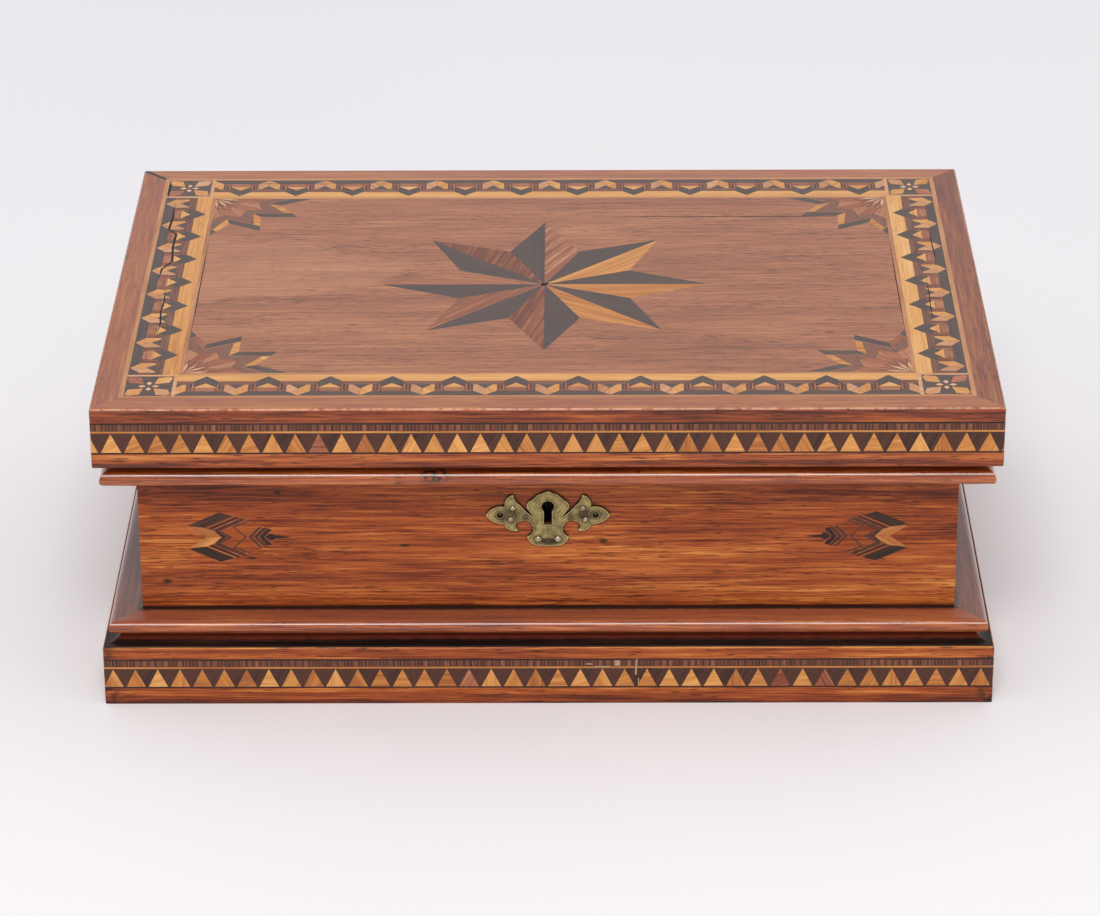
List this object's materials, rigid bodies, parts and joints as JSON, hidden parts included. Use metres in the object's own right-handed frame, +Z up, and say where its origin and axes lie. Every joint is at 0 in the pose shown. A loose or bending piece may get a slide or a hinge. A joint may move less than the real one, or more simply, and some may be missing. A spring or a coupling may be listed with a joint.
{
  "type": "inlaid wooden box",
  "caption": "Rectangular mahogany box on a stepped plinth, with a hinged marquetry lid, banded edges, a brass box lock and a pierced brass escutcheon.",
  "frame": {"origin": "middle of the underside", "axes": "+X to the right along the front, -Y out of the front, +Z up"},
  "size_m": [0.356, 0.252, 0.13],
  "materials": {
    "mahogany": "polished, worn, orange-brown with dark pores",
    "mahogany_veneer": "polished, pinkish brown with a figured grain",
    "ebonised_wood": "dark stain, dull",
    "ebony": "polished, nearly black",
    "satinwood": "polished, golden",
    "banding": "polished mixed woods",
    "ribbon_marquetry": "polished mixed woods",
    "fan_marquetry": "polished mixed woods",
    "pine": "bare, planed",
    "aged_brass": "aged, greenish, rubbed bright on the high parts",
    "steel": "dull grey"
  },
  "bodies": {
    "case": {"bottom_board": "pine", "ebonised_cove_back": "ebonised_wood", "ebonised_cove_front": "ebonised_wood", "ebonised_cove_left": "ebonised_wood", "ebonised_cove_right": "ebonised_wood", "escutcheon_pins": "aged_brass", "escutcheon_plate": "aged_brass", "foot_moulding_back": "mahogany", "foot_moulding_front": "mahogany", "foot_moulding_left": "mahogany", "foot_moulding_right": "mahogany", "front_motif_left": "ribbon_marquetry", "front_motif_right": "ribbon_marquetry", "hinge_left_lower_leaf": "aged_brass", "hinge_left_pin": "steel", "hinge_right_lower_leaf": "aged_brass", "hinge_right_pin": "steel", "hinge_screws_lower": "steel", "lock_cap": "aged_brass", "lock_case": "aged_brass", "lock_screws": "steel", "lock_spring": "steel", "plinth_back": "mahogany", "plinth_banding": "banding", "plinth_front": "mahogany", "plinth_left": "mahogany", "plinth_right": "mahogany", "rim_moulding_back": "mahogany", "rim_moulding_front": "mahogany", "rim_moulding_left": "mahogany", "rim_moulding_right": "mahogany", "wall_back": "mahogany", "wall_front": "mahogany", "wall_left": "mahogany", "wall_right": "mahogany"},
    "lid": {"corner_blocks": "ribbon_marquetry", "corner_fans": "fan_marquetry", "field_veneer": "mahogany_veneer", "hinge_left_upper_leaf": "aged_brass", "hinge_right_upper_leaf": "aged_brass", "hinge_screws_upper": "steel", "lid_banding": "banding", "lid_panel": "pine", "lid_rail_back": "mahogany", "lid_rail_front": "mahogany", "lid_rail_left": "mahogany", "lid_rail_right": "mahogany", "lid_stringing": "satinwood", "link_plate": "aged_brass", "link_screws": "steel", "ribbon_back": "ribbon_marquetry", "ribbon_front": "ribbon_marquetry", "ribbon_left": "ribbon_marquetry", "ribbon_right": "ribbon_marquetry", "star_ebony_halves": "ebony", "star_wood_halves": "satinwood"},
    "bolt": {"lock_bolt": "aged_brass"}
  },
  "joints": [
    {"name": "lid_hinge", "type": "hinge", "parent": "case", "child": "lid", "pos_m": [0, 0.1235, 0.1044], "axis": [-1, 0, 0], "range_deg": [0, 100]},
    {"name": "bolt_slide", "type": "slide", "parent": "case", "child": "bolt", "axis": [1, 0, 0], "range_m": [0, 0.005]}
  ]
}
